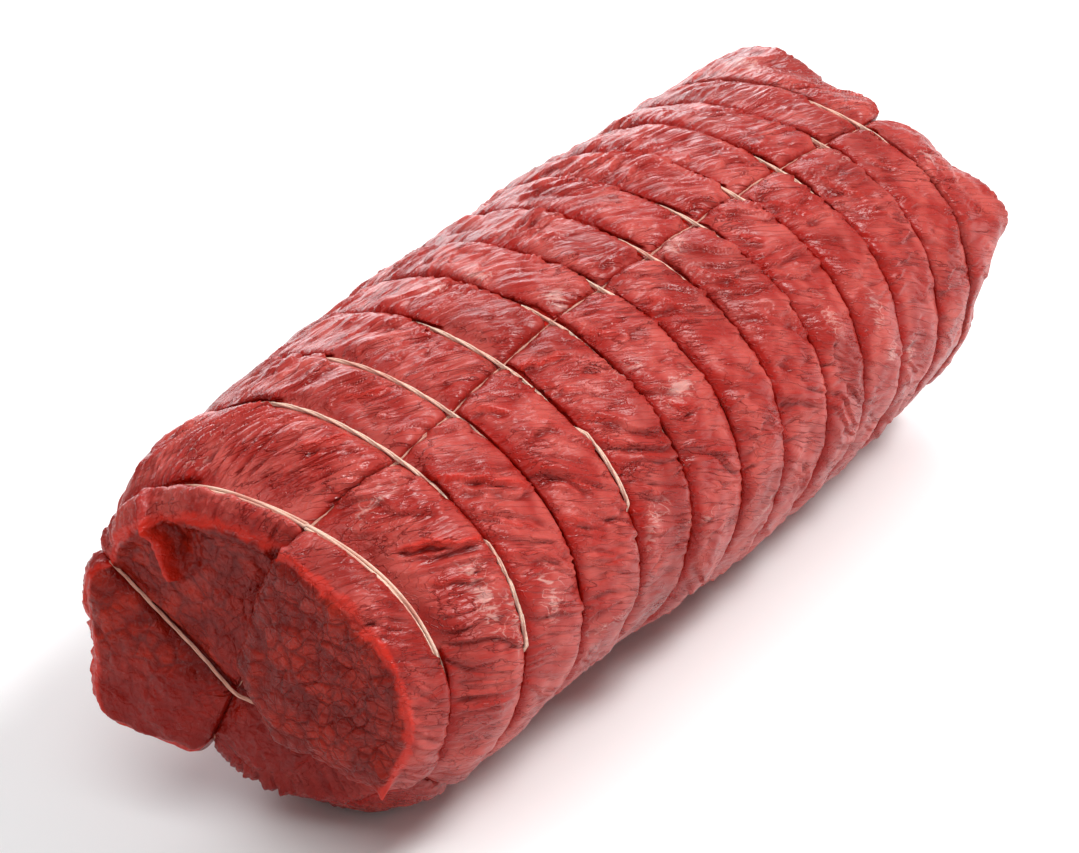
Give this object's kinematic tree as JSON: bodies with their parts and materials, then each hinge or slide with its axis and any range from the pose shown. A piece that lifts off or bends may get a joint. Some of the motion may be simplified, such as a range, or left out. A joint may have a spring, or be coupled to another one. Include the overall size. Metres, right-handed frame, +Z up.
{
  "type": "rolled and tied raw veal roast",
  "caption": "Boneless raw meat joint rolled to a log, cut square at one end, rounded at the other, drawn in by cross ties and by lengthwise strings that cross on both ends.",
  "frame": {"origin": "on the table under the middle of the whole", "axes": "+X along the log from its cut end to its round end, +Z up, so the seam with the top string runs along +Z's side of the log"},
  "size_m": [0.2981, 0.1169, 0.1064],
  "materials": {
    "meat": "wet raw red meat",
    "twine": "undyed cotton twine, stained pink by the meat"
  },
  "bodies": {
    "root": {"meat": "meat", "tie_01": "twine", "tie_02": "twine", "tie_03": "twine", "tie_04": "twine", "tie_05": "twine", "tie_06": "twine", "tie_07": "twine", "tie_08": "twine", "tie_09": "twine", "tie_10": "twine", "tie_11": "twine", "tie_12": "twine", "long_string_top": "twine", "long_string_side": "twine"}
  },
  "joints": []
}
